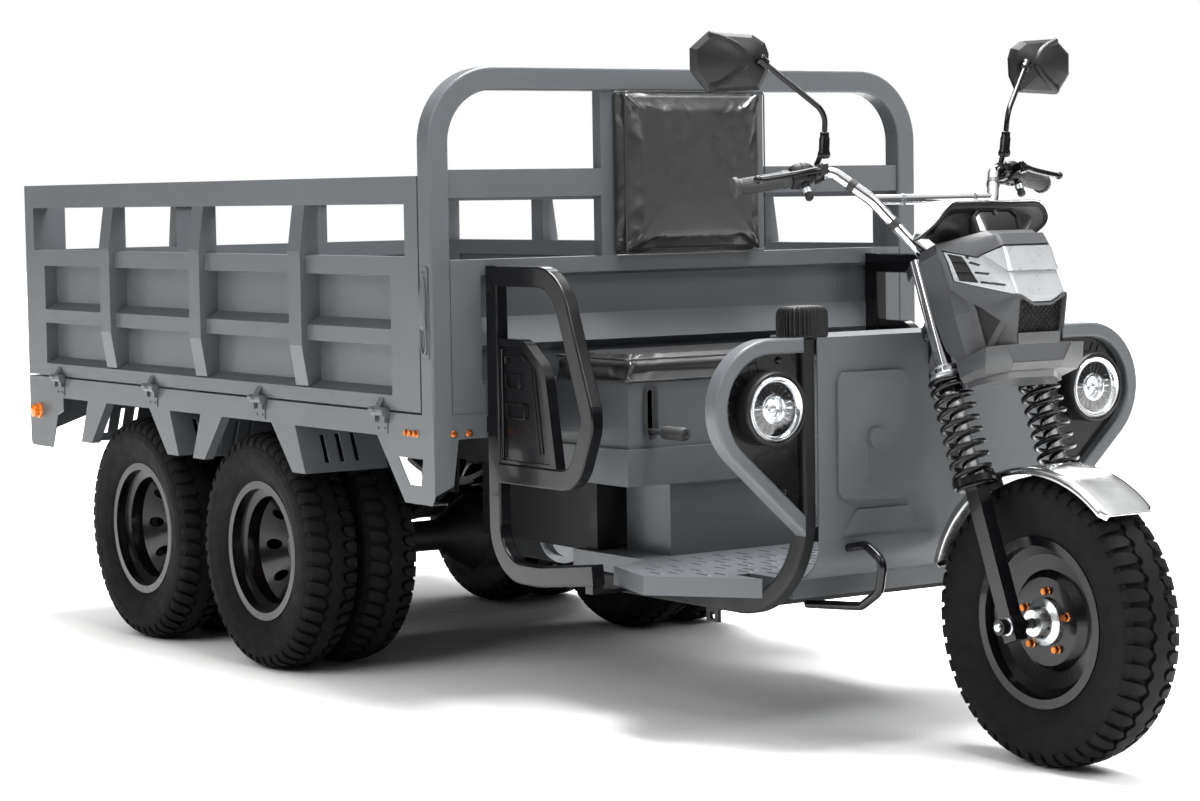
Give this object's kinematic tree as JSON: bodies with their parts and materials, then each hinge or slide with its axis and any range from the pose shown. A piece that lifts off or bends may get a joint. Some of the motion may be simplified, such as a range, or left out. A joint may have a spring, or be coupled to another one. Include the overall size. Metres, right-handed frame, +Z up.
{
  "type": "motorized cargo tricycle",
  "caption": "Electric cargo tricycle: one steered front wheel, driver seat behind an upright shield, flat cargo bed with drop boards over two axles with twin wheels.",
  "frame": {"origin": "on the ground, under the middle of the overall length, on the centre plane", "axes": "+X to the front, +Y to the left side, +Z up"},
  "size_m": [3.6, 1.388, 1.4315],
  "materials": {
    "grey_paint": "gloss",
    "black_paint": "semi-gloss",
    "motor_cast": "cast",
    "chrome": "polished",
    "rubber": "matte",
    "tyre": "matte",
    "vinyl": "satin",
    "black_plastic": "matte",
    "grey_plastic": "gloss",
    "amber_lens": "gloss",
    "red_lens": "gloss",
    "lamp_glass": "clear"
  },
  "bodies": {
    "chassis": {"chassis_rails": "black_paint", "front_subframe": "black_paint", "steering_frame": "black_paint", "bed_frame": "grey_paint", "headboard_hoop": "grey_paint", "headboard_panel": "grey_paint", "headboard_bars": "grey_paint", "bed_hinges": "grey_paint", "mudguards": "grey_paint", "corner_steps": "grey_paint", "side_markers": "amber_lens", "tail_lamps": "red_lens", "leaf_springs": "black_paint", "drive_axles": "black_paint", "drive_motor": "motor_cast", "battery_box": "black_paint", "cab_floor": "grey_paint", "seat_box": "grey_paint", "seat_cushion": "vinyl", "backrest": "vinyl", "hand_levers": "rubber", "front_shield": "grey_paint", "shield_valance": "black_paint", "lamp_hoops": "grey_paint", "lamp_plates": "black_paint", "headlamps": "lamp_glass", "charge_cap": "rubber", "side_guards": "black_paint", "guard_panels": "black_paint", "bumper_loops": "black_paint", "board_latches": "black_paint"},
    "steering": {"fork_legs": "black_paint", "fork_tubes": "chrome", "fork_crowns": "chrome", "fork_springs": "black_paint", "handlebar": "chrome", "bar_grips": "rubber", "bar_controls": "black_plastic", "mirrors": "black_plastic", "nacelle_shell": "grey_plastic", "nacelle_grille": "black_plastic", "nacelle_mask": "chrome", "instrument_pod": "black_plastic", "front_fender": "chrome"},
    "front_wheel": {"front_tyre": "tyre", "front_rim": "black_paint"},
    "mid_wheel_right": {"mid_wheel_right_tyres": "tyre", "mid_wheel_right_rims": "black_paint"},
    "mid_wheel_left": {"mid_wheel_left_tyres": "tyre", "mid_wheel_left_rims": "black_paint"},
    "rear_wheel_right": {"rear_wheel_right_tyres": "tyre", "rear_wheel_right_rims": "black_paint"},
    "rear_wheel_left": {"rear_wheel_left_tyres": "tyre", "rear_wheel_left_rims": "black_paint"},
    "board_right": {"side_board_right": "grey_paint"},
    "board_left": {"side_board_left": "grey_paint"},
    "tailgate": {"tailgate": "grey_paint"}
  },
  "joints": [
    {"name": "steer", "type": "hinge", "parent": "chassis", "child": "steering", "pos_m": [1.4693, 0, 0.2661], "axis": [-0.3584, 0, 0.9336], "range_deg": [-40, 40]},
    {"name": "front_wheel_spin", "type": "hinge", "parent": "steering", "child": "front_wheel", "pos_m": [1.516, 0, 0.284], "axis": [0, 1, 0], "continuous": true},
    {"name": "mid_wheel_right_spin", "type": "hinge", "parent": "chassis", "child": "mid_wheel_right", "pos_m": [-0.529, -0.514, 0.284], "axis": [0, 1, 0], "continuous": true},
    {"name": "mid_wheel_left_spin", "type": "hinge", "parent": "chassis", "child": "mid_wheel_left", "pos_m": [-0.529, 0.514, 0.284], "axis": [0, 1, 0], "continuous": true},
    {"name": "rear_wheel_right_spin", "type": "hinge", "parent": "chassis", "child": "rear_wheel_right", "pos_m": [-1.174, -0.514, 0.284], "axis": [0, 1, 0], "continuous": true},
    {"name": "rear_wheel_left_spin", "type": "hinge", "parent": "chassis", "child": "rear_wheel_left", "pos_m": [-1.174, 0.514, 0.284], "axis": [0, 1, 0], "continuous": true},
    {"name": "board_right_drop", "type": "hinge", "parent": "chassis", "child": "board_right", "pos_m": [-0.7545, -0.687, 0.657], "axis": [1, 0, 0], "range_deg": [0, 180]},
    {"name": "board_left_drop", "type": "hinge", "parent": "chassis", "child": "board_left", "pos_m": [-0.7545, 0.687, 0.657], "axis": [-1, 0, 0], "range_deg": [0, 180]},
    {"name": "tailgate_drop", "type": "hinge", "parent": "chassis", "child": "tailgate", "pos_m": [-1.793, 0, 0.657], "axis": [0, -1, 0], "range_deg": [0, 180]}
  ]
}
